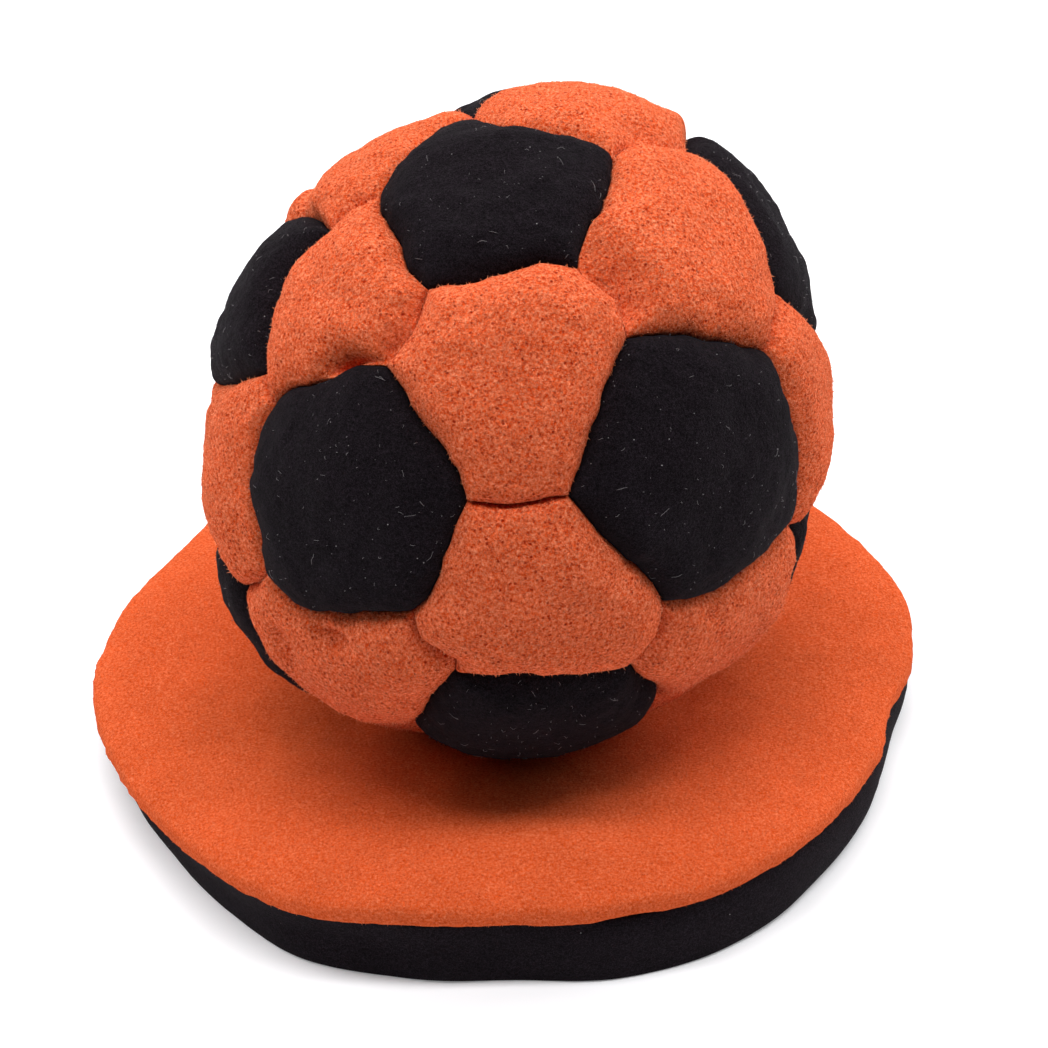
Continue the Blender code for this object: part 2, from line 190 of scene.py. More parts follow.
def suedeMaterial(name, look):
    made, shader, node = newMaterial(name)
    spot = node("TexCoord", out="Object")
    twists = node("TexNoise", {
        "Vector": spot, "Scale": perMetre / (2 * look["curl"]), "Detail": 1.0}, "Color")
    curled = node("VectorMath", {0: twists, 1: (look["curlReach"] * mm,) * 3, 2: spot},
                  operation="MULTIPLY_ADD")
    tufts = node("TexNoise", {
        "Vector": curled, "Scale": perMetre / look["tuft"], "Detail": 3.0, "Roughness": 0.65})
    fibres = node("TexNoise", {
        "Vector": curled, "Scale": perMetre / look["curl"], "Detail": 1.0, "Distortion": 0.6})
    offLine = node("Math", {0: fibres, 1: 0.5}, operation="SUBTRACT")
    farLine = node("Math", {0: offLine}, operation="ABSOLUTE")
    strand = node("MapRange", {"Value": farLine, "From Min": look["strandWidth"], "From Max": 0.0},
                  interpolation_type="SMOOTHSTEP")
    holes = node("TexVoronoi", {
        "Vector": curled, "Scale": perMetre / look["pore"], "Randomness": 1.0}, feature="F1")
    hole = node("MapRange", {
        "Value": holes, "From Min": look["poreWidth"], "From Max": look["poreCore"]},
        interpolation_type="SMOOTHSTEP")
    chance = node("SeparateColor", {0: holes.node.outputs["Color"]})
    opening = node("Math", {0: hole, 1: chance}, operation="MULTIPLY")
    clumps = node("TexNoise", {
        "Vector": spot, "Scale": perMetre / look["clump"], "Detail": 2.0, "Roughness": 0.6})
    patches = node("TexNoise", {
        "Vector": spot, "Scale": perMetre / look["brushed"], "Detail": 2.0, "Roughness": 0.55})

    # Nap tones: painted shade at the deep end, painted highlight at the tip
    level = node("MapRange", {"Value": tufts, "From Min": look["low"], "From Max": look["high"]})
    colour = node("ValToRGB", {"Fac": level})
    ramp = colour.node.color_ramp
    for place, key in ((0.3, "low tone"), (0.5, "middle"), (0.72, "high tone")):
        ramp.elements.new(place).color = solid(look[key])
    ramp.elements[0].color = solid(look["deep tone"])
    ramp.elements[-1].color = solid(look["tip"])
    # Pale strands are a painted highlight, dark holes painted shade in the pores
    for part, most, tone in ((strand, "strandShare", "strand"), (opening, "poreShare", "hole")):
        share = node("Math", {0: part, 1: look[most]}, operation="MULTIPLY")
        colour = node("Mix", {0: share, 6: colour, 7: solid(look[tone])}, 2, data_type="RGBA")
    # Painted sheen: patches where the nap lies another way, lighter or darker
    drift = node("MapRange", {
        "Value": patches, "From Min": 0.3, "From Max": 0.7,
        "To Min": 1 - look["drift"], "To Max": 1 + look["drift"]})
    colour = node("Mix", {0: 1.0, 6: colour, 7: drift}, 2, data_type="RGBA", blend_type="MULTIPLY")
    if look.get("lint"):
        colour = addLint(node, spot, colour, look)

    relief = tufts
    for part, height in ((clumps, look["clumpShare"]), (strand, look["curlHeight"]),
                         (opening, -look["poreDepth"])):
        relief = node("Math", {0: part, 1: height, 2: relief}, operation="MULTIPLY_ADD")
    bump = node("Bump", {
        "Height": relief, "Strength": look["bumpStrength"], "Distance": look["bumpDepth"] * mm})
    setInputs(shader, {
        "Base Color": colour, "Normal": bump, "Roughness": look["roughness"], "IOR": look["ior"],
        "Specular IOR Level": look["specular"], "Sheen Weight": look["sheen"],
        "Sheen Roughness": look["sheenRoughness"], "Sheen Tint": solid(look["bloom"])})
    return made


# Pale lint that the dark nap picks up: small specks, most of the cells of a pattern left empty
def addLint(node, spot, colour, look):
    cells = node("TexVoronoi", {
        "Vector": spot, "Scale": perMetre / look["lintGap"], "Randomness": 1.0}, feature="F1")
    size = look["lintSize"] / look["lintGap"]
    speck = node("MapRange", {"Value": cells, "From Min": size, "From Max": 0.4 * size})
    chosen = node("SeparateColor", {0: cells.node.outputs["Color"]})
    kept = node("Math", {0: chosen, 1: look["lintShare"]}, operation="LESS_THAN")
    amount = node("Math", {0: speck, 1: kept}, operation="MULTIPLY")
    faint = node("Math", {0: amount, 1: chosen.node.outputs[1]}, operation="MULTIPLY")
    return node("Mix", {0: faint, 6: colour, 7: solid(look["lint"])}, 2, data_type="RGBA")


# Painted shade and highlight: light that bounces about in the pores comes back redder, so the pores
# and deep tones are painted dark red, and the lit tips and strands are painted pale
orangeNap = {
    **suede, "deep tone": "#AC2400", "low tone": "#CC4418", "middle": "#E05C30",
    "high tone": "#EE744A", "tip": "#FF9870", "hole": "#961400", "strand": "#FFAA84",
    "poreWidth": 0.42, "poreShare": 1.0, "drift": 0.05, "bumpDepth": 0.13,
    "specular": 0.0, "sheen": 0.075, "sheenRoughness": 0.3, "bloom": "#FFD0B4",
    "fibreShade": "#E46A3A", "fibreTip": "#FFAE86",
}
# Black nap: painted shade in the pores, painted highlights on tips and strands, and real lint
blackNap = {
    **suede, "deep tone": "#070406", "low tone": "#0C080B", "middle": "#110C10",
    "high tone": "#171116", "tip": "#251E24", "hole": "#030102", "strand": "#332A32",
    "poreWidth": 0.35, "poreShare": 0.8, "drift": 0.12, "bumpDepth": 0.14,
    "specular": 0.08, "sheen": 0.025, "sheenRoughness": 0.5, "bloom": "#B8B0B4",
    "fibreShade": "#120E12", "fibreTip": "#2E262E",
    "lint": "#C8C4C6", "lintGap": 0.7, "lintSize": 0.06, "lintShare": 0.4,
}
# The bag's finer nap, with the same painted shade in its pores and painted highlights
orangeDiscNap = {
    **orangeNap, "tuft": 0.22, "curl": 0.15, "pore": 0.36, "brushed": 5.0,
    "deep tone": "#C44412", "low tone": "#D45020", "middle": "#DC5A2C", "high tone": "#E4683C",
    "tip": "#EE8056", "hole": "#B43208", "poreShare": 0.6, "strand": "#FA9872", "strandShare": 0.3,
    "sheen": 0.06, "bumpDepth": 0.07, "fibreShade": "#D85828", "fibreTip": "#F48C60",
}
blackDiscNap = {**blackNap, "tuft": 0.22, "lintShare": 0.06, "bumpStrength": 0.5}

orangeSuede = suedeMaterial("orange buffed suede", orangeNap)
blackSuede = suedeMaterial("black buffed suede", blackNap)
orangeDiscSuede = suedeMaterial("orange fine suede", orangeDiscNap)
blackDiscSuede = suedeMaterial("black fine suede", blackDiscNap)
print("materials: suede made")


# Ball


ball = {
    "centre": (2.1, -1.7, 33.454),  # mm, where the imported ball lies
    "viewHeight": 34.6,  # degrees above level, the side whose outline was measured
    "length": 58.8, "width": 53.0, "depth": 56.0, "lengthLean": 62.7,
    "cutShare": 0.398, "spin": -21.7, "lean": 8.5, "leanToward": -101.8,
    "seamDepth": 2.3,  # mm from the middles of the panels in to the seams
    "edgeHeight": 1.75, "edgeWidth": 3.6, "edgePower": 3.5,  # mm, the round of each edge
    "dome": 0.65, "domeWidth": 3.0, "domePower": 2.0,  # and the slow rise to the middle
    "puffSpread": 0.12,  # how unlike the panels are in fullness, as a share
    "lumps": ((5.0, 0.42), (2.3, 0.16), (1.0, 0.11), (0.6, 0.05)),  # mm apart, mm high
    "lipWaver": 0.30, "lipWaverSize": 1.2, "lipReach": 1.5,  # share, mm: no lip is even
    "dentStart": 0.35, "dentHeight": 4,  # mm from the seam, and in height, that dents reach
    "allowance": 2.0, "thickness": 0.9, "gap": 0.08,
    "liningShares": (0.84, 0.68, 0.46, 0.22),  # rows that the lining follows under the skin
    "rows": 44,  # rows of faces from a panel's middle to its seam
    "crowding": 1.35,  # packs the rows toward the seam
    "bow": 0.45,  # mm that a black panel's unseen sides bow out
    "wander": 0.42, "wanderSize": 4.2,  # mm that a seam strays, and from bend to bend
    "fret": 0.20, "fretSize": 1.2,  # the same for the small bends between stitches
    "trust": 0.45,  # how squarely a corner has to be seen to be placed in full
}

# Seam corners that the front view shows, as shares of a unit ball to the right and up
seenCorners = (
    (-0.25, 0.39), (0.18, 0.41), (0.29, 0.72), (-0.40, 0.67), (-0.37, 0.19), (-0.14, -0.19),
    (-0.30, -0.48), (-0.71, 0.12), (0.32, 0.21), (0.15, -0.20), (0.43, -0.52), (0.73, 0.15),
    (-0.18, -0.66), (0.34, -0.69), (0.44, -0.85), (-0.34, -0.88), (-0.73, 0.21),
)

# Corners near the outline, by their pentagon (P) and hexagon (H) panels, with -1 where they lie
# behind it
rimCorners = {
    "P10 H09 H15": (-0.797, -0.379), "P06 H09 H15": (-0.733, -0.344),
    "P10 H09 H13": (-0.883, -0.230), "P10 H15 H20": (-0.515, -0.758),
    "P05 H08 H14": (0.809, -0.330), "P09 H08 H14": (0.828, -0.350),
    "P09 H08 H12": (0.880, -0.120, -1), "P09 H14 H19": (0.687, -0.602, -1),
    "P03 H01 H03": (0.525, 0.725), "P03 H03 H08": (0.769, 0.317),
    "P01 H01 H02": (-0.120, 0.865), "P02 H01 H02": (-0.123, 0.906),
    "P04 H02 H04": (-0.541, 0.581), "P04 H02 H07": (-0.640, 0.645),
    "P04 H09 H13": (-0.950, 0.200),
}

# How the seen seams bend: mm out of the first panel at a quarter, half and three quarters of the
# way, anticlockwise round that panel
seamBends = {
    "P01 H04": (0.5, 0.3, 0.6), "P01 H05": (0.2, 0.0, -0.5), "P01 H03": (-0.2, 0.4, 0.4),
    "P01 H01": (-0.3, -1.3, -1.5), "P01 H02": (1.5, 0.8, 0.7), "P03 H03": (-0.3, -0.5, -0.4),
    "P04 H04": (-1.2, -2.2, -2.1), "P10 H15": (-0.5, -0.5, -0.2), "P09 H14": (0.3, 0.5, 0.3),
    "P05 H03": (0.0, 0.3, 0.4), "P05 H05": (0.4, 0.3, 0.1), "P05 H14": (0.9, 0.8, 0.3),
    "P05 H08": (0.6, 0.8, -0.1), "P05 H10": (0.0, -0.1, -0.4), "P06 H04": (0.6, 0.2, 0.6),
    "P06 H05": (0.8, 0.5, 0.3), "P06 H15": (1.7, 1.4, 0.5), "P06 H10": (0.6, 0.4, 0.1),
    "P06 H09": (1.3, 1.4, 0.4), "P11 H10": (0.3, 0.8, 0.7), "P11 H14": (0.8, 0.7, 0.1),
    "P11 H15": (0.5, 0.5, 0.5), "H01 H03": (-0.6, 0.0, 0.6), "H03 H05": (-0.3, -0.9, -0.6),
    "H04 H05": (0.4, 0.7, 0.4), "H05 H10": (0.25, 0.35, 0.15), "H10 H14": (-0.1, 0.6, 0.5),
    "H10 H15": (0.5, 0.2, -0.6),
}

# Places where the whole skin stands out or in: degrees round the front view from the right,
# degrees toward the viewer, degrees across, mm
ballBulges = (
    (-42, 5, 17, 1.5), (-109, 0, 15, -1.5), (-147, 5, 18, 1.1), (78, 0, 18, 0.6), (58, 2, 5, 0.9),
    (71, 0, 4, -0.3), (86, 0, 4, 0.6), (92, 0, 5, -0.6), (108, 0, 13, -1.75), (129, 0, 4, 0.7),
    (134, 0, 8, 1.0), (166, 0, 9, 0.8), (171, 0, 4, 0.4), (180, 0, 9, -0.45), (15, 0, 4, 0.7),
    (21, 0, 7, -0.25), (2, 0, 9, -0.35), (40, 0, 12, 0.3),
)

# Dents and folds that show in front: the panel, place as shares of the unit ball to the right
# and up, long and short reach in mm, lean in degrees, depth in mm, less than 0 where it swells
ballDents = (
    ("H03", 0.30, 0.41, 3.2, 2.0, -55, 1.7),  # fold beside the front orange panel
    ("H03", 0.34, 0.31, 1.5, 1.1, 0, 0.9),
    ("H04", -0.52, 0.20, 1.8, 1.3, 10, 2.7),  # pocket over the left black panel
    ("H04", -0.38, 0.26, 2.4, 0.9, 55, 0.6),
    ("H07", -0.70, 0.70, 2.6, 2.2, 0, 1.2),
    ("H02", -0.65, 0.69, 2.2, 1.6, 60, -1.1),  # blunt end that stands proud
    ("H15", -0.72, -0.56, 1.9, 0.9, 80, 0.9),  # folds above its lower edge
    ("H15", -0.56, -0.57, 1.7, 0.7, 5, 1.3),
    ("H01", 0.38, 0.84, 2.2, 1.2, -40, 0.8),
    ("H01", 0.10, 0.84, 2.2, 0.9, 0, 0.8),
    ("H09", -0.86, -0.23, 2.2, 1.1, 80, 0.5),
)

viewRight = np.array((1.0, 0, 0))
viewUp = np.array((0, sin(radians(ball["viewHeight"])), cos(radians(ball["viewHeight"]))))
viewToward = np.cross(viewRight, viewUp)


# The direction at an angle round the front view, from the right
def roundView(degrees):
    return viewRight * cos(radians(degrees)) + viewUp * sin(radians(degrees))


# A panel's short code, such as H03 for hexagon_panel_03
def codeOf(name):
    return name[0].upper() + name[-2:]


# The matrix from a unit ball to the ellipsoid at a depth under the panels' middles
def ellipsoid(depth):
    along = roundView(ball["lengthLean"])
    across = np.cross(viewToward, along)
    shape = np.zeros((3, 3))
    for axis, size in ((along, ball["length"]), (across, ball["width"]), (viewToward, ball["depth"])):
        shape += np.outer(axis, axis) * (size / 2 - depth)
    return shape


panelShape = ellipsoid(0)
seamShape = ellipsoid(ball["seamDepth"])
seamShapeBack = np.linalg.inv(seamShape)
panelShapeBack = np.linalg.inv(panelShape)


# Where a line through a point leaves the seams' ellipsoid, or comes nearest to it
def leavePoint(start, along):
    base, step = seamShapeBack @ start, seamShapeBack @ along
    square, half = step @ step, base @ step
    reach = max(0, half * half - square * (base @ base - 1)) ** 0.5
    return start + along * ((reach - half) / square)


def onSeams(points):
    return points / lengths(points @ seamShapeBack.T)[..., None]


# The unit ball's point under a place in the front view, on its near or far side
def cornerAt(right, up, side=1):
    seen = panelShape @ (viewRight * right + viewUp * up)
    return units(seamShapeBack @ leavePoint(seen, viewToward * side))


# The part's net: corners on a unit ball, the loops of corners round its panels, and their names
def ballNet():
    bm = bmesh.new()
    bmesh.ops.create_icosphere(bm, subdivisions=1, radius=1)
    bmesh.ops.bevel(bm, geom=bm.verts[:], offset=100 * ball["cutShare"], offset_type="PERCENT",
                    affect="VERTICES", segments=1)
    turn = (Matrix.Rotation(radians(ball["leanToward"]), 4, "Z")
            @ Matrix.Rotation(radians(ball["lean"]), 4, "Y")
            @ Matrix.Rotation(radians(ball["spin"]), 4, "Z"))
    bmesh.ops.transform(bm, matrix=turn, verts=bm.verts)
    bm.faces.sort(key=lambda face: -face.calc_center_median().z)
    bm.faces.ensure_lookup_table()
    bm.verts.index_update()
    corners = units(np.array([vert.co[:] for vert in bm.verts]))
    loops = [[vert.index for vert in face.verts] for face in bm.faces]
    bm.free()
    names, counts = [], {5: 0, 6: 0}
    for loop in loops:
        counts[len(loop)] += 1
        kind = "pentagon" if len(loop) == 5 else "hexagon"
        names.append(f"{kind}_panel_{counts[len(loop)]:02d}")
    free = list(range(len(corners)))
    for place in seenCorners:
        spot = cornerAt(*place)
        nearest = min(free, key=lambda k: lengths(corners[k] - spot))
        trust = min(1, max(0, corners[nearest] @ viewToward) / ball["trust"])
        corners[nearest] = units(corners[nearest] * (1 - trust) + spot * trust)
        free.remove(nearest)
    loopOf = {codeOf(name): set(loop) for name, loop in zip(names, loops)}
    for key, place in rimCorners.items():
        corner = set.intersection(*[loopOf[code] for code in key.split()]).pop()
        corners[corner] = cornerAt(*place)
    return corners, loops, names


# How far the skin as a whole stands out, for points about the ball's middle
def bulge(points):
    directions = units(points)
    total = np.zeros(len(points))
    for around, toward, across, amount in ballBulges:
        centre = roundView(around) * cos(radians(toward)) + viewToward * sin(radians(toward))
        angle = np.degrees(np.arccos(np.clip(directions @ centre, -1, 1)))
        total += amount * np.exp(-(angle / across) ** 2)
    return total


# One seam as a fine line between two corners, bent out of its first panel and a little uneven
def seamLine(a, b, firstMiddle, bends, seen, count):
    share = np.linspace(0, 1, count + 1)[:, None]
    start, end = seamShape @ a, seamShape @ b
    line = start + (end - start) * share
    outward = units(np.cross(end - start, start))
    if outward @ ((start + end) / 2 - firstMiddle) < 0:
        outward = -outward
    quarter, half, threeQuarters = bends
    third = ((quarter + threeQuarters) * 0.5 ** 0.5 - half) / 2
    line = line + outward * ((half + third) * np.sin(pi * share)
                             + (quarter - threeQuarters) / 2 * np.sin(tau * share)
                             + third * np.sin(3 * pi * share))
    taper = np.sin(pi * share) ** 0.5
    wander = ball["wander"] * (0.25 if seen else 1)
    stray = wander * softNoise(line, ball["wanderSize"], 11)
    stray += ball["fret"] * softNoise(line, ball["fretSize"], 12)
    return onSeams(line + outward * taper * stray[:, None])


# Steps that move each point of a loop one length in from its seam
def inwardSteps(loop):
    walls = units(np.cross(loop, np.roll(loop, -1, axis=0)))
    before = np.roll(walls, 1, axis=0)
    return (before + walls) / (1 + (before * walls).sum(axis=1))[:, None]


# Height above the seam: the filling rounds the edge up, then domes the panel
def pillow(distance, roundly):
    turned = np.clip(distance / ball["edgeWidth"], 0, 1)
    swell = 1 - np.exp(-roundly / ball["domeWidth"])
    return ball["edgeHeight"] * np.sqrt(1 - (1 - turned) ** 2) + ball["dome"] * swell / swell.max()


def dentDepth(name, points):
    total = np.zeros(len(points))
    for panel, right, up, longReach, shortReach, lean, depth in ballDents:
        if panel != codeOf(name):
            continue
        toward = max(0, 1 - right * right - up * up) ** 0.5
        spot = onSeams(panelShape @ (viewRight * right + viewUp * up + viewToward * toward))
        normal = units(spot)
        along = roundView(lean)
        along = units(along - normal * (along @ normal))
        across = np.cross(normal, along)
        away = points - spot
        level = ((away @ along) / longReach) ** 2 + ((away @ across) / shortReach) ** 2
        level += ((away @ normal) / ball["dentHeight"]) ** 2
        total += depth * np.exp(-level)
    return total


# Points at broken places along a row that goes round
def alongRow(row, place):
    low = np.floor(place).astype(int)
    part = (place - low)[:, None]
    return row[low % len(row)] * (1 - part) + row[(low + 1) % len(row)] * part


# The places of a panel's fan of rows, on the seams' ellipsoid, and its inward steps at the rim
def fanBase(lines, rows, inset):
    sides = len(lines)
    step = (len(lines[0]) - 1) // rows
    fine = np.concatenate([line[:-1] for line in lines])
    inward = inwardSteps(fine)
    if (inward[0] @ (fine.mean(axis=0) - fine[0])) < 0:
        inward = -inward
    edge = fine + inward * inset
    middle = onSeams(fine.mean(axis=0))
    points = [middle[None, :]]
    for row in range(1, rows + 1):
        share = 1 - (1 - row / rows) ** ball["crowding"]
        rim = alongRow(edge, np.arange(row * sides) * step * rows / row)
        points.append(middle + (rim - middle) * share)
    return onSeams(np.concatenate(points)), inward[::step]


# Distances to the seams, blended where two are near: one for the edge and one for the dome
def farFromSeams(base, lines):
    nearest = np.array([lengths(base[:, None, :] - line[None, ::2, :]).min(axis=1) for line in lines])
    nearest = np.maximum(nearest, 0.02)
    return [(nearest ** -power).sum(axis=0) ** (-1 / power)
            for power in (ball["edgePower"], ball["domePower"])]


# Height of a panel's skin above the seams: its pillow, its own fullness, lumps and dents
def skinHeight(name, base, softly, roundly):
    waver = softNoise(base, ball["lipWaverSize"], 24) * np.exp(-softly / ball["lipReach"])
    waver = 1 + ball["lipWaver"] * waver
    full = 1 + ball["puffSpread"] * softNoise(base[:1] * 3, 7.0, 25)[0]
    height = pillow(softly * waver, roundly) * full
    for number, (size, amount) in enumerate(ball["lumps"]):
        height += amount * np.clip(softly / size * 3, 0, 1) * softNoise(base, size, 21 + 7 * number)
    return height - np.clip(softly / ball["dentStart"], 0, 1) * dentDepth(name, base)


# One panel: its outer face, its turned-in edge, then its lining
def panelPoints(name, lines):
    rows, sides = ball["rows"], len(lines)
    base, inward = fanBase(lines, rows, ball["gap"] / 2)
    height = skinHeight(name, base, *farFromSeams(base, lines))
    out = units(base)
    outer = base + out * (height + bulge(base))[:, None]
    count = rows * sides
    rimBase, rimOut = base[-count:], out[-count:]
    rimBulge = bulge(rimBase)[:, None]
    rings = []
    deep, thick = ball["allowance"], ball["thickness"]
    for inset, depth in ((0, 0.5), (0, deep), (thick, deep), (thick, 0.1)):
        rings.append(onSeams(rimBase + inward * inset) - rimOut * depth + rimOut * rimBulge)
    for share in ball["liningShares"]:
        row = round(rows * share)
        start = 1 + sides * row * (row - 1) // 2
        ring = alongRow(outer[start:start + row * sides], np.arange(count) * row / rows)
        rings.append(ring - units(ring) * thick)
    hub = outer[:1] - out[:1] * thick
    return np.concatenate([outer, *rings, hub]), rows, sides


def panelFaces(rows, sides):
    faces = fanFaces(sides, rows)
    count = rows * sides
    first = 1 + sides * rows * (rows + 1) // 2 - count
    rings = 5 + len(ball["liningShares"])
    faces += [face[::-1] for face in ringFaces(first, rings, count)]
    last = first + (rings - 1) * count
    return faces + hubFaces(last, count, last + count)


ballCentre = np.array(ball["centre"])
corners, loops, panelNames = ballNet()


# Every seam once, from its first panel: the black one, or else the one of the lower number
def sewSeams():
    seams = {}
    order = sorted(range(len(loops)), key=lambda k: (len(loops[k]), panelNames[k]))
    for k in order:
        loop = loops[k]
        middle = (corners[loop] @ seamShape.T).mean(axis=0)
        for a, b in zip(loop, loop[1:] + loop[:1]):
            if frozenset((a, b)) in seams:
                continue
            second = next(n for n in order if n != k and {a, b} <= set(loops[n]))
            bends = seamBends.get(f"{codeOf(panelNames[k])} {codeOf(panelNames[second])}")
            bow = ball["bow"] if len(loop) == 5 else 0
            seams[frozenset((a, b))] = (a, seamLine(
                corners[a], corners[b], middle, bends or (bow * 0.7, bow, bow * 0.7),
                bends is not None, ball["rows"] * 4))
    return seams


seams = sewSeams()
ballPanels, panelLines = [], []
for name, loop in zip(panelNames, loops):
    black = len(loop) == 5
    lines = []
    for a, b in zip(loop, loop[1:] + loop[:1]):
        first, line = seams[frozenset((a, b))]
        lines.append(line if a == first else line[::-1])
    panelLines.append(lines)
    points, rows, sides = panelPoints(name, lines)
    ballPanels.append(addPiece(
        f"suede_{name}", points + ballCentre, panelFaces(rows, sides),
        blackSuede if black else orangeSuede, "ball",
        [name]))
print("ball:", len(ballPanels), "panels sewn")


# Flat bag


# Its top panel dips under the ball and rounds over at the rim, and its bottom panel stands out
# past the seam in front and is tucked in at the left
disc = {
    "radius": 37.3, "sagHeight": 6.0, "seamHeight": 5.8, "seamRecess": 1.1,
    "shoulder": 3.4, "shoulderShare": 0.85, "roundness": 4.2,  # mm above the seam, where, how square
    "lipRise": 0.9, "lipReach": 0.75,  # mm that the top's edge stands over the seam
    "bottomRollWidth": 3.0, "crease": 50, "thickness": 0.9, "allowance": 2.0, "gap": 0.08,
    "sectors": 6, "rows": 92, "rimShare": 0.86,
    "clearance": 0.06, "underBall": 26,  # mm under the ball, and how far out to look for it
    "lumps": (((9.0, 31), 0.30), ((2.5, 32), 0.07), ((0.8, 33), 0.025)),  # mm apart, seed, mm high
    "calmReach": 18,  # mm out from the middle where the lumps are in full
    "sideLumps": (((6.0, 41), 0.3), ((0.8, 42), 0.03)),
    "rag": 0.12, "ragSize": 0.9, "ragReach": 1.2,  # mm, the fuzzy edge of the orange panel
    "waver": 0.3, "waverSize": 5.0,
}
rimShares = (
    1.016, 1.022, 1.000, 0.992, 1.008, 0.995, 0.982, 0.990, 1.000, 0.982, 0.960, 0.994,
    1.015, 1.000, 0.984, 1.001, 1.023, 0.995, 0.976, 1.011, 1.023, 1.005, 0.983, 0.970,
)
seamHeightShares = (0.90, 0.94, 1.00, 0.98, 1.02, 0.90, 0.80, 0.84, 1.10, 1.20, 1.18, 0.92)
# mm that the bottom panel stands out past the seam's round, every 30 degrees from the right
bottomReach = (-0.5, 0.2, 0.3, 0.3, 0.0, -0.6, -1.4, -1.6, -1.7, -1.0, -0.6, -0.5)


# A smooth closed curve through shares spaced evenly round the bag
def wave(shares, angle):
    shares = np.array(shares)
    place = np.mod(angle, tau) / tau * len(shares)
    first = np.floor(place).astype(int)
    part = place - first
    a, b, c, d = [shares[(first + k) % len(shares)] for k in (-1, 0, 1, 2)]
    bend = 2 * a - 5 * b + 4 * c - d + part * (3 * (b - c) + d - a)
    return b + part / 2 * (c - a + part * bend)


partAngles = tau * np.arange(40) / 40
reach = disc["radius"] * wave(rimShares, partAngles)
rimShift = np.array([(side.min() + side.max()) / 2
                     for side in (reach * np.cos(partAngles), reach * np.sin(partAngles))])


def seamHeight(angle):
    return disc["seamHeight"] * wave(seamHeightShares, angle)


def discPoints(angle, radius, height):
    out = radius * wave(rimShares, angle)
    return np.stack([out * np.cos(angle) - rimShift[0], out * np.sin(angle) - rimShift[1],
                     height * np.ones_like(angle)], axis=1)


# Height of the top panel at a share of its reach: a dip, a shoulder, then the rim's round
def topHeight(angle, share):
    lip = seamHeight(angle) + disc["lipRise"]
    shoulder = seamHeight(angle) + disc["shoulder"]
    climb = np.clip(share / disc["shoulderShare"], 0, 1)
    bowl = disc["sagHeight"] + (shoulder - disc["sagHeight"]) * climb * climb * (3 - 2 * climb)
    fall = np.maximum(0, 1 - share ** disc["roundness"]) ** (1 / disc["roundness"])
    return lip + (bowl - lip) * fall


seamRadius = disc["radius"] - disc["seamRecess"]
lipRadius = seamRadius + disc["lipReach"]
rimCount = disc["rows"] * disc["sectors"]
rimAngles = tau * np.arange(rimCount) / rimCount


# Presses points down to where they clear the ball's underside, and some mm more
def pressUnderBall(tree, points, under=0):
    for point in points:
        x, y = point[:2]
        if (x - ballCentre[0]) ** 2 + (y - ballCentre[1]) ** 2 < disc["underBall"] ** 2:
            hit = tree.ray_cast(Vector((x * mm, y * mm, -0.01)), Vector((0, 0, 1)))[0]
            if hit is not None:
                point[2] = min(point[2], hit.z / mm - disc["clearance"] - under)


def ballTree():
    verts, faces = [], []
    for piece in ballPanels:
        base = len(verts)
        verts += [vert.co.copy() for vert in piece.data.vertices]
        faces += [tuple(base + k for k in polygon.vertices) for polygon in piece.data.polygons]
    return BVHTree.FromPolygons(verts, faces)


def rimRing(radius, height):
    return discPoints(rimAngles, radius, height)


# A ring of the top panel at a share of its reach, some mm under its face
def topRing(share, under=0):
    shares = np.full(rimCount, share)
    return rimRing(lipRadius * shares, topHeight(rimAngles, shares) - under)


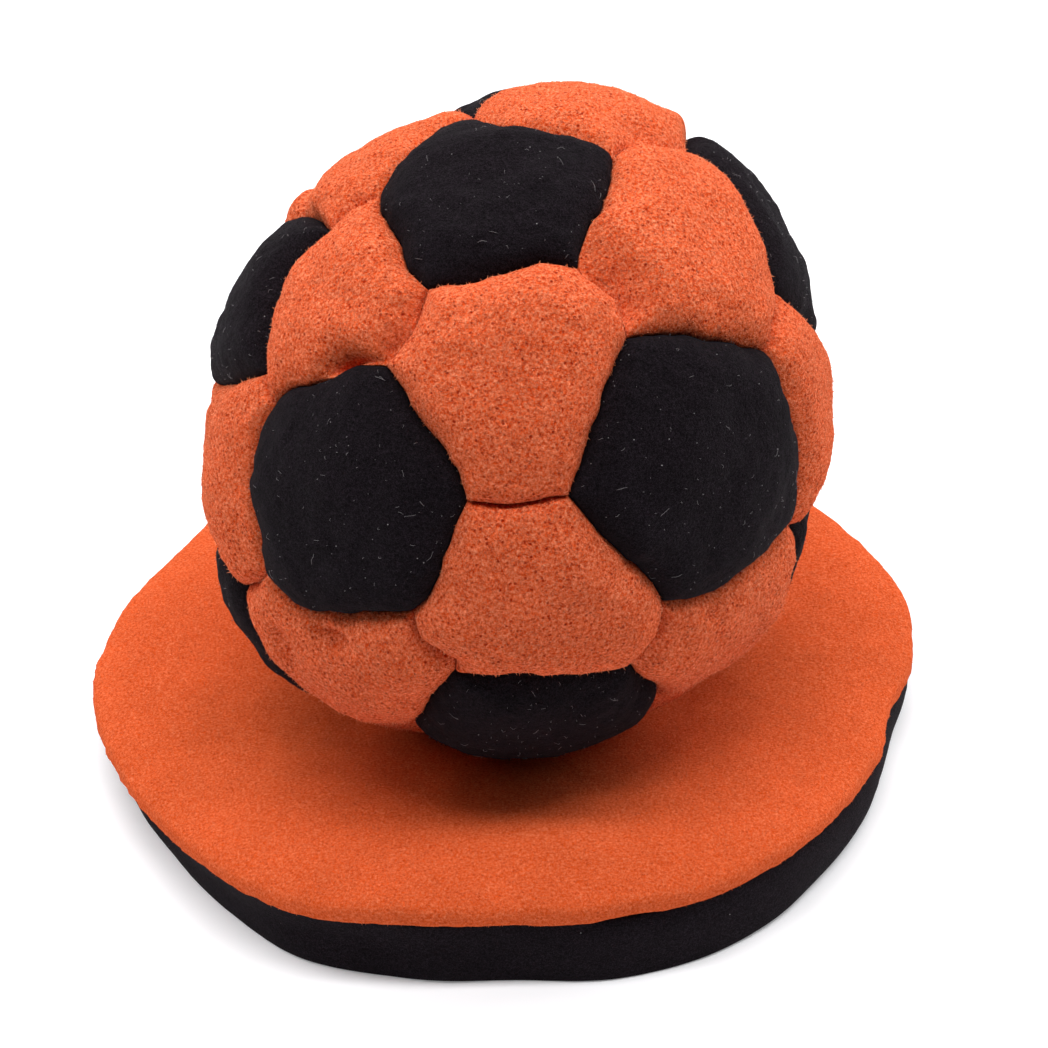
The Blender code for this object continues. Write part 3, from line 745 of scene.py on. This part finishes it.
def addDiscTop(tree):
    rows, sectors, thick = disc["rows"], disc["sectors"], disc["thickness"]
    angles, shares = [np.zeros(1)], [np.zeros(1)]
    for row in range(1, rows + 1):
        angles.append(tau * np.arange(row * sectors) / (row * sectors))
        shares.append(np.full(row * sectors, row / rows))
    angle, share = np.concatenate(angles), np.concatenate(shares) * disc["rimShare"]
    points = discPoints(angle, lipRadius * share, topHeight(angle, share))
    start = np.arcsin(disc["rimShare"] ** (disc["roundness"] / 2))
    rings = [topRing(sin(turn) ** (2 / disc["roundness"]))
             for turn in np.linspace(start, pi / 2, 25)[1:]]
    lipMiddle = seamHeight(rimAngles) + disc["lipRise"]
    crease = seamHeight(rimAngles) + disc["gap"] / 2
    for turn in np.linspace(0, pi / 2, 8)[1:]:
        radius = seamRadius + (lipRadius - seamRadius) * cos(turn)
        rings.append(rimRing(radius, lipMiddle - (lipMiddle - crease) * sin(turn)))
    outer = np.concatenate([points, *rings])
    calm = np.clip(lengths(outer[:, :2]) / disc["calmReach"], 0, 1)
    outer[:, 2] += calm * sum(high * softNoise(outer, *place) for place, high in disc["lumps"])
    points, edge = outer[:len(points)], outer[len(points):]
    pressUnderBall(tree, points)
    away = units(edge * (1, 1, 0))
    low = np.clip((lipMiddle.mean() + disc["ragReach"] - edge[:, 2]) / disc["ragReach"], 0, 1)
    rag = softNoise(edge, disc["ragSize"], 34) + 0.7 * softNoise(edge, disc["ragSize"] / 2, 35)
    waver = disc["waver"] * softNoise(edge, disc["waverSize"], 36)
    edge += away * (low * disc["rag"] * rag + waver)[:, None]
    flange = seamRadius - disc["allowance"]
    inner = [rimRing(flange, crease), rimRing(flange, crease + thick),
             rimRing(seamRadius - thick, crease + thick)]
    for share in (0.9, 0.8, 0.6, 0.3):
        ring = topRing(share, thick)
        pressUnderBall(tree, ring, thick)
        inner.append(ring)
    hub = points[:1] - (0, 0, thick)
    count = len(edge) // rimCount + len(inner)
    faces = fanFaces(sectors, rows)
    first = len(points) - rimCount
    faces += [face[::-1] for face in ringFaces(first, count + 1, rimCount)]
    last = first + count * rimCount
    faces += hubFaces(last, rimCount, last + rimCount)
    addPiece("suede_disc_top_panel", np.concatenate([points, edge, *inner, hub]), faces,
             orangeDiscSuede, "flat_bag", ["disc_top_panel"])


# How round the foot is, every 30 degrees from the right: small where it stands flat on the floor
footRound = (1.2, 0.8, 0.8, 0.8, 0.8, 0.8, 0.9, 0.6, 0.2, 0.1, 0.2, 0.9)


def addDiscBottom():
    crease = seamHeight(rimAngles) - disc["gap"] / 2
    half = crease / (1 + sin(radians(disc["crease"])))
    width, thick = disc["bottomRollWidth"], disc["thickness"]
    centre = seamRadius - width * cos(radians(disc["crease"]))
    flange = seamRadius - disc["allowance"]
    reach = wave(bottomReach, rimAngles)
    foot = wave(footRound, rimAngles)
    rings = [rimRing(centre * part, 0) for part in (0.25, 0.5, 0.75, 0.9)]
    for turn in np.linspace(-90, disc["crease"], 25):
        fade = 1 if turn < 0 else 1 - (turn / disc["crease"]) ** 2
        square = cos(radians(turn)) ** (foot if turn < 0 else 1)  # sagged: widest low down
        radius = centre + width * square + reach * fade * square
        rise = (1 + sin(radians(turn))) / (1 + sin(radians(disc["crease"])))
        ring = rimRing(radius, crease * rise ** 1.4)
        away = units(ring * (1, 1, 0))
        for place, high in disc["sideLumps"]:
            ring += away * (high * softNoise(ring, *place) * cos(radians(turn)))[:, None]
        rings.append(ring)
    inset = np.minimum(reach, 0)
    for radius, height in ((flange + inset, crease), (flange + inset, crease - thick),
                           (seamRadius + inset - thick, crease - thick),
                           (centre + width + inset - thick, half), (centre + inset, thick),
                           (centre * 0.5, thick)):
        rings.append(rimRing(radius, height))
    lowest = np.array([[-rimShift[0], -rimShift[1], 0]])
    points = np.concatenate([*rings, lowest, lowest + (0, 0, thick)])
    addPiece("suede_disc_bottom_panel", points, closedFaces(len(rings), rimCount), blackDiscSuede,
             "flat_bag", ["disc_bottom_panel"])


discTree = ballTree()
addDiscTop(discTree)
addDiscBottom()
print("flat bag: both panels sewn")


# Loose fibres


# Suede's cut fibres stand up singly where the light comes from behind them, and the dark panels
# pick up short pale lint. Each fibre is a three-sided spike or strand
fibres = {
    "orange": {"perArea": 6.0, "long": (0.12, 0.42), "thick": 0.042, "lean": (15, 80), "seed": 51},
    "black": {"perArea": 2.6, "long": (0.08, 0.34), "thick": 0.034, "lean": (15, 80), "seed": 52},
    "bag": {"perArea": 4.0, "long": (0.08, 0.30), "thick": 0.036, "lean": (20, 82), "seed": 53},
    "contact": 17,  # mm round the ball's seat that stays bare
    "rim": 35, "low": 1.5,  # mm: out on the bag's edge fibres grow down to this height
    "skin": 0.93,  # share of the ball's reach past which a panel's face is its outer one
}
# Cotton lint: thin white fibres that lie across the black nap, brighter and fainter along them
lint = {
    "perPanel": 52, "panelArea": 240, "long": (0.08, 1.0), "power": 5, "thick": 0.011,  # mm, mm2
    "bend": 0.25, "off": 0.04, "lift": 0.1, "steps": 6, "seed": 61, "curl": 0.6,
    "fibreShade": "#5C565A", "fibreTip": "#B4AEB0", "fibreLow": 0.0, "fibreHigh": 1.0,
    "roughness": 0.8, "specular": 0.5,
}


# Random places on the outer faces of some pieces: points and directions out, in mm
def facePlaces(pieces, perArea, seed, keep):
    rng = np.random.default_rng(seed)
    places, outs = [], []
    for piece in pieces:
        mesh = piece.data
        spots = np.empty(3 * len(mesh.vertices))
        mesh.vertices.foreach_get("co", spots)
        spots = spots.reshape(-1, 3) / mm
        mesh.calc_loop_triangles()
        corners = np.empty(3 * len(mesh.loop_triangles), dtype=int)
        mesh.loop_triangles.foreach_get("vertices", corners)
        a, b, c = [spots[corners.reshape(-1, 3)[:, k]] for k in range(3)]
        cross = np.cross(b - a, c - a)
        area = lengths(cross) / 2
        area = area * keep((a + b + c) / 3, cross / (2 * area[:, None] + 1e-9))
        if area.sum() == 0:
            continue
        number = rng.poisson(area.sum() * perArea)
        chosen = rng.choice(len(area), number, p=area / area.sum())
        u, v = rng.random((2, number))
        u, v = np.where(u + v > 1, 1 - u, u)[:, None], np.where(u + v > 1, 1 - v, v)[:, None]
        places.append(a[chosen] * (1 - u - v) + b[chosen] * u + c[chosen] * v)
        outs.append(units(cross[chosen]))
    return np.concatenate(places), np.concatenate(outs)


# Directions at random round each way out, leaning by an angle between two
def leaning(outs, lean, rng):
    tilt = np.radians(rng.uniform(*lean, len(outs)))[:, None]
    side = units(np.cross(outs, units(rng.normal(size=outs.shape))))
    return outs * np.cos(tilt) + side * np.sin(tilt)


# Single fibres: the nap's have the same dye as the suede, with a painted highlight of lit ends:
# lighter in random stretches along them
def fibreMaterial(name, look):
    made, shader, node = newMaterial(name)
    uneven = node("TexNoise", {"Vector": node("TexCoord", out="Object"),
                               "Scale": perMetre / look["curl"], "Detail": 1.0})
    level = node("MapRange", {
        "Value": uneven, "From Min": look["fibreLow"], "From Max": look["fibreHigh"]})
    colour = node("Mix", {0: level, 6: solid(look["fibreShade"]), 7: solid(look["fibreTip"])}, 2,
                  data_type="RGBA")
    setInputs(shader, {"Base Color": colour, "Roughness": look["roughness"],
                       "Specular IOR Level": look["specular"]})
    return made


def addFibres(name, pieces, kind, look, body, keep):
    made = fibres[kind]
    rng = np.random.default_rng(made["seed"])
    roots, outs = facePlaces(pieces, made["perArea"], made["seed"], keep)
    ways = leaning(outs, made["lean"], rng)
    low, high = made["long"]
    long = (low + (high - low) * rng.random(len(roots)) ** 2)[:, None]
    side = units(np.cross(ways, outs + (0.01, 0.02, 0.03)))
    up = np.cross(ways, side)
    roots = roots - outs * made["thick"]
    foot = [roots + made["thick"] * (side * cos(turn) + up * sin(turn))
            for turn in (0, tau / 3, 2 * tau / 3)]
    points = np.stack([*foot, roots + ways * long], axis=1).reshape(-1, 3)
    pattern = [(0, 2, 1), (0, 1, 3), (1, 2, 3), (2, 0, 3)]
    faces = [tuple(4 * k + corner for corner in face) for k in range(len(roots)) for face in pattern]
    addPiece(name, points, faces, look, body)


# The middles of panels, not the folded edges, and nothing where the ball sits on the bag
def onTop(spots, outs):
    away = spots - ballCentre
    depth = lengths(away @ panelShapeBack.T)
    seat = (lengths(away[:, :2]) < fibres["contact"]) & (away[:, 2] < 0)
    return (depth > fibres["skin"]) & ((outs * units(away)).sum(axis=1) > 0.0) & ~seat


def onBag(spots, outs):
    away = lengths(spots[:, :2] - ballCentre[:2])
    reach = lengths(spots[:, :2])
    upward = (outs[:, 2] > 0.2) | (reach > fibres["rim"])
    return (away > fibres["contact"]) & upward & (spots[:, 2] > fibres["low"])


blackPanels = [piece for piece in ballPanels if "pentagon" in piece.name]
orangePanels = [piece for piece in ballPanels if "hexagon" in piece.name]
bagPanels = [bpy.data.objects["suede_disc_top_panel"]]
addFibres("orange_nap_fibres", orangePanels, "orange", fibreMaterial("orange suede fibre", orangeNap),
          "ball", onTop)
addFibres("black_nap_fibres", blackPanels, "black", fibreMaterial("black suede fibre", blackNap),
          "ball", onTop)
addFibres("bag_nap_fibres", bagPanels, "bag", fibreMaterial("fine orange suede fibre", orangeDiscNap),
          "flat_bag", onBag)


# Two directions across a path at each of its points
def acrossPath(path):
    along = units(np.gradient(path, axis=0))
    side = units(np.cross(along, (0.31, 0.52, 0.79)))
    return side, np.cross(along, side)


# Strands: closed tubes of a few sides along smooth paths
def strandMesh(paths, thick, sides=3):
    points, faces, base = [], [], 0
    for path in paths:
        side, up = acrossPath(path)
        rings = [path + thick * (side * cos(tau * k / sides) + up * sin(tau * k / sides))
                 for k in range(sides)]
        points.append(np.stack(rings, axis=1).reshape(-1, 3))
        faces += ringFaces(base, len(path), sides)
        top = base + sides * (len(path) - 1)
        faces += [tuple(base + k for k in reversed(range(sides))), tuple(top + k for k in range(sides))]
        base += sides * len(path)
    return np.concatenate(points), faces


def addLintFibres():
    rng = np.random.default_rng(lint["seed"])
    perArea = lint["perPanel"] / lint["panelArea"]
    spots, outs = facePlaces(blackPanels, perArea, lint["seed"], onTop)
    paths = []
    for spot, out in zip(spots, outs):
        way = units(np.cross(out, rng.normal(size=3)))
        across = np.cross(out, way)
        long = lint["long"][0] + (lint["long"][1] - lint["long"][0]) * rng.random() ** lint["power"]
        share = np.linspace(-0.5, 0.5, lint["steps"])[:, None]
        curve = rng.normal() * lint["bend"] * long
        hook = rng.normal() * lint["bend"] * long
        lift = lint["off"] + lint["lift"] * rng.random() * (1 + np.cos(tau * share))
        bent = across * (curve * share ** 2 + hook * share ** 3)
        paths.append(spot + way * share * long + bent + out * lift)
    points, faces = strandMesh(paths, lint["thick"])
    look = fibreMaterial("white cotton lint", lint)
    addPiece("black_panel_lint", points, faces, look, "ball")


addLintFibres()
print("fibres: nap and lint laid")


# Inside


# Both bags are packed with moulded plastic pellets, which show only as a lumpy mass, and their
# seams are sewn from inside with twisted thread, under the turned-in edges
inside = {
    "pellet": 3.2, "lump": 0.22, "clearance": 0.3, "rows": 22,  # mm, and rows of faces
    "thread": 0.5, "threadDepth": 2.55, "threadRadius": 33.65, "twist": 1.6,  # mm
    "groove": 0.15, "deep": 0.6,  # mm that the filling stays off the turned-in edges
    "pale": "#E6E1D4", "shade": "#C9C2B2", "threadColour": "#1C1A1C", "threadShine": "#343036",
    "filament": 0.12, "pelletBump": 0.8, "threadBump": 0.04,  # mm
    "pelletRoughness": 0.45, "threadRoughness": 0.5,
}


# Polypropylene pellets, cut hot and tumbled: each is a little off the next in shade, with a
# satin face and painted shade in the gap round it
def pelletMaterial():
    made, shader, node = newMaterial("tumbled polypropylene pellets")
    pattern = {"Vector": node("TexCoord", out="Object"), "Scale": perMetre / inside["pellet"]}
    cells = node("TexVoronoi", pattern, "Color", feature="F1")
    gaps = node("TexVoronoi", pattern, feature="DISTANCE_TO_EDGE")
    shade = node("Mix", {0: cells, 6: solid(inside["shade"]), 7: solid(inside["pale"])}, 2,
                 data_type="RGBA")
    # Rounds each pellet's edge and darkens it toward the gap: painted shade
    roundAndGapShade = node("MapRange", {"Value": gaps, "From Max": 0.3, "To Min": 0.25},
                    interpolation_type="SMOOTHSTEP")
    colour = node("Mix", {0: 1.0, 6: shade, 7: roundAndGapShade}, 2, data_type="RGBA",
                  blend_type="MULTIPLY")
    bump = node("Bump", {"Height": roundAndGapShade, "Distance": inside["pelletBump"] * mm})
    setInputs(shader, {"Base Color": colour, "Normal": bump, "Roughness": inside["pelletRoughness"]})
    return made


# Bonded nylon thread: two plies twisted and coated; its dull shine along each turn is a painted
# highlight, lighter in streaks
def threadMaterial():
    made, shader, node = newMaterial("bonded nylon thread")
    filaments = node("TexNoise", {
        "Vector": node("TexCoord", out="Object"), "Scale": perMetre / inside["filament"],
        "Detail": 2.0, "Distortion": 1.0})
    colour = node("Mix", {0: filaments, 6: solid(inside["threadColour"]),
                          7: solid(inside["threadShine"])}, 2, data_type="RGBA")
    bump = node("Bump", {"Height": filaments, "Distance": inside["threadBump"] * mm})
    setInputs(shader, {"Base Color": colour, "Normal": bump, "Roughness": inside["threadRoughness"]})
    return made


# The ball's filling swells into each panel and leaves a groove for the turned-in edges
def addBallFilling(look):
    rows = inside["rows"]
    groove = ball["gap"] / 2 + ball["thickness"] + inside["groove"]
    floor = ball["allowance"] + inside["thread"] + inside["deep"]
    points, faces, first = [], [], 0
    for name, lines in zip(panelNames, panelLines):
        base = fanBase(lines, rows, 0)[0]
        softly, roundly = farFromSeams(base, lines)
        height = skinHeight(name, base, softly, roundly) - ball["thickness"] - inside["clearance"]
        height += inside["lump"] * (softNoise(base, inside["pellet"] / 2, 71) - 1)
        rise = np.clip((softly - groove) / 0.2, 0, 1)
        height = -floor + (height + floor) * rise
        points.append(base + units(base) * (height + bulge(base))[:, None])
        faces += [tuple(first + k for k in face) for face in fanFaces(len(lines), rows)]
        first += len(base)
    made = addPiece("ball_pellet_filling", np.concatenate(points) + ballCentre, faces, look,
                    "ball", ["ball_filling"])
    sewn = bmesh.new()
    sewn.from_mesh(made.data)
    bmesh.ops.remove_doubles(sewn, verts=sewn.verts, dist=0.002 * mm)
    sewn.to_mesh(made.data)
    sewn.free()


# Two plies twisted round a path
def plies(path):
    side, up = acrossPath(path)
    run = np.concatenate([[0], np.cumsum(lengths(np.diff(path, axis=0)))])
    turn = tau * run[:, None] / inside["twist"]
    off = inside["thread"] / 4
    return [path + off * sign * (side * np.cos(turn) + up * np.sin(turn)) for sign in (1, -1)]


def addBallThread(look):
    paths = []
    for first, line in seams.values():
        under = line[::4] - units(line[::4]) * inside["threadDepth"]
        paths += plies(under + units(under) * bulge(under)[:, None])
    points, faces = strandMesh(paths, inside["thread"] / 4, 6)
    addPiece("ball_twisted_thread", points + ballCentre, faces, look, "ball",
             ["ball_seam_thread"])


def addDiscFilling(look, tree):
    thick, clear = disc["thickness"], inside["clearance"]
    centre = seamRadius - disc["bottomRollWidth"] * cos(radians(disc["crease"]))
    crease = seamHeight(rimAngles)
    back = inside["threadRadius"] - inside["thread"] / 2 - 0.1
    shelf = crease - disc["gap"] / 2 - thick - clear
    low = thick + clear
    inset = np.minimum(wave(bottomReach, rimAngles), 0)
    rings = [rimRing(centre * part, low) for part in (0.3, 0.6, 0.9)]
    rings.append(rimRing(centre + 1.0 + inset, (low + shelf) / 2))
    rings.append(rimRing(back + inset, shelf))
    rings.append(rimRing(back + inset, crease + thick + clear))
    for share in (0.94, 0.9, 0.8, 0.7, 0.6, 0.45, 0.3, 0.15):
        ring = topRing(share)
        ring[:, 2] -= thick + clear + 0.1 * (1 - softNoise(ring, inside["pellet"] / 2, 72))
        pressUnderBall(tree, ring, thick + clear)
        rings.append(ring)
    hubs = np.array([[-rimShift[0], -rimShift[1], low],
                     [-rimShift[0], -rimShift[1], rings[-1][:, 2].min()]])
    addPiece("disc_pellet_filling", np.concatenate([*rings, hubs]),
             closedFaces(len(rings), rimCount), look, "flat_bag",
             ["disc_filling"])


def addDiscThread(look):
    angles = np.linspace(0, tau, 900)
    path = discPoints(angles, inside["threadRadius"], seamHeight(angles))
    points, faces = strandMesh(plies(path), inside["thread"] / 4, 6)
    addPiece("disc_twisted_thread", points, faces, look, "flat_bag",
             ["disc_seam_thread"])


pellets, thread = pelletMaterial(), threadMaterial()
addBallFilling(pellets)
addBallThread(thread)
addDiscFilling(pellets, discTree)
addDiscThread(thread)
print("inside: fillings and threads made")


# Floor, light and camera


# A small white light tent: a lamp strip along its top front edge does most of the work, and its
# sides, back and roof send soft light back, while a low white card in front lifts the shade
studio = {
    "floorSize": 0.9, "floor": "#F0F0F2", "floorRoughness": 0.9, "floorGloss": 0.1,
    "floorGlow": 0.22,  # the floor is a light table: a little light comes up through it
    "world": "#FFFFFF", "worldStrength": 0.01,
    "backdrop": 0.85,  # the pale wall round the tent, which only the camera sees
    "aim": (0, 0, 0.02),  # m, where the lights point
}
# Each light: watts, width and depth in m, place
lights = {
    "lamp strip": (2.05, 0.52, 0.06, (0.0, -0.08, 0.45)),
    "tent roof": (1.2, 0.50, 0.30, (0.0, 0.28, 0.46)),
    "tent left side": (1.1, 0.30, 0.26, (-0.40, 0.16, 0.25)),
    "tent right side": (1.25, 0.30, 0.26, (0.40, 0.16, 0.25)),
    "tent back": (0.9, 0.50, 0.35, (0.0, 0.42, 0.24)),
    "front card": (0.045, 0.40, 0.20, (0.05, -0.42, 0.10)),
}

floorMesh = bpy.data.meshes.new("floor")
half = studio["floorSize"] / 2
floorMesh.from_pydata([(-half, -half, 0), (half, -half, 0), (half, half, 0), (-half, half, 0)], [],
                      [(0, 1, 2, 3)])
paper, paperShader = newMaterial("white paper sweep")[:2]
setInputs(paperShader, {
    "Base Color": solid(studio["floor"]), "Roughness": studio["floorRoughness"],
    "Specular IOR Level": studio["floorGloss"], "Emission Color": solid(studio["floor"]),
    "Emission Strength": studio["floorGlow"]})
floorMesh.materials.append(paper)
addObject("floor", floorMesh)

world = bpy.data.worlds.new("studio")
world.use_nodes = True
direct = addNode(world.node_tree, "LightPath", out="Is Camera Ray")
seen = addNode(world.node_tree, "MapRange", {
    "Value": direct, "To Min": studio["worldStrength"], "To Max": studio["backdrop"]})
setInputs(world.node_tree.nodes["Background"], {0: solid(studio["world"]), 1: seen})
scene.world = world

for name, (power, width, depth, place) in lights.items():
    light = bpy.data.lights.new(name, "AREA")
    light.energy, light.shape, light.size, light.size_y = power, "RECTANGLE", width, depth
    lamp = addObject(name, light)
    lamp.location = place
    aim = Vector(studio["aim"]) - Vector(place)
    lamp.rotation_euler = aim.to_track_quat("-Z", "Y").to_euler()

camera = {
    "place": (2.42, -228.64, 190.19), "lookDown": 36.396, "roll": -2.523,
    "focalPixels": 3200, "framePixels": 1048, "sensor": 36.0,
}
lens = bpy.data.cameras.new("camera")
lens.sensor_width = camera["sensor"]
lens.lens = camera["sensor"] * camera["focalPixels"] / camera["framePixels"]
lens.clip_start = 0.01
viewer = addObject("camera", lens)
viewer.matrix_world = (Matrix.Translation(Vector(camera["place"]) * mm)
                       @ Matrix.Rotation(radians(90 - camera["lookDown"]), 4, "X")
                       @ Matrix.Rotation(radians(camera["roll"]), 4, "Z"))
bpy.context.scene.camera = viewer
scene.view_settings.view_transform = "Standard"
print("studio: floor, lights and camera set")
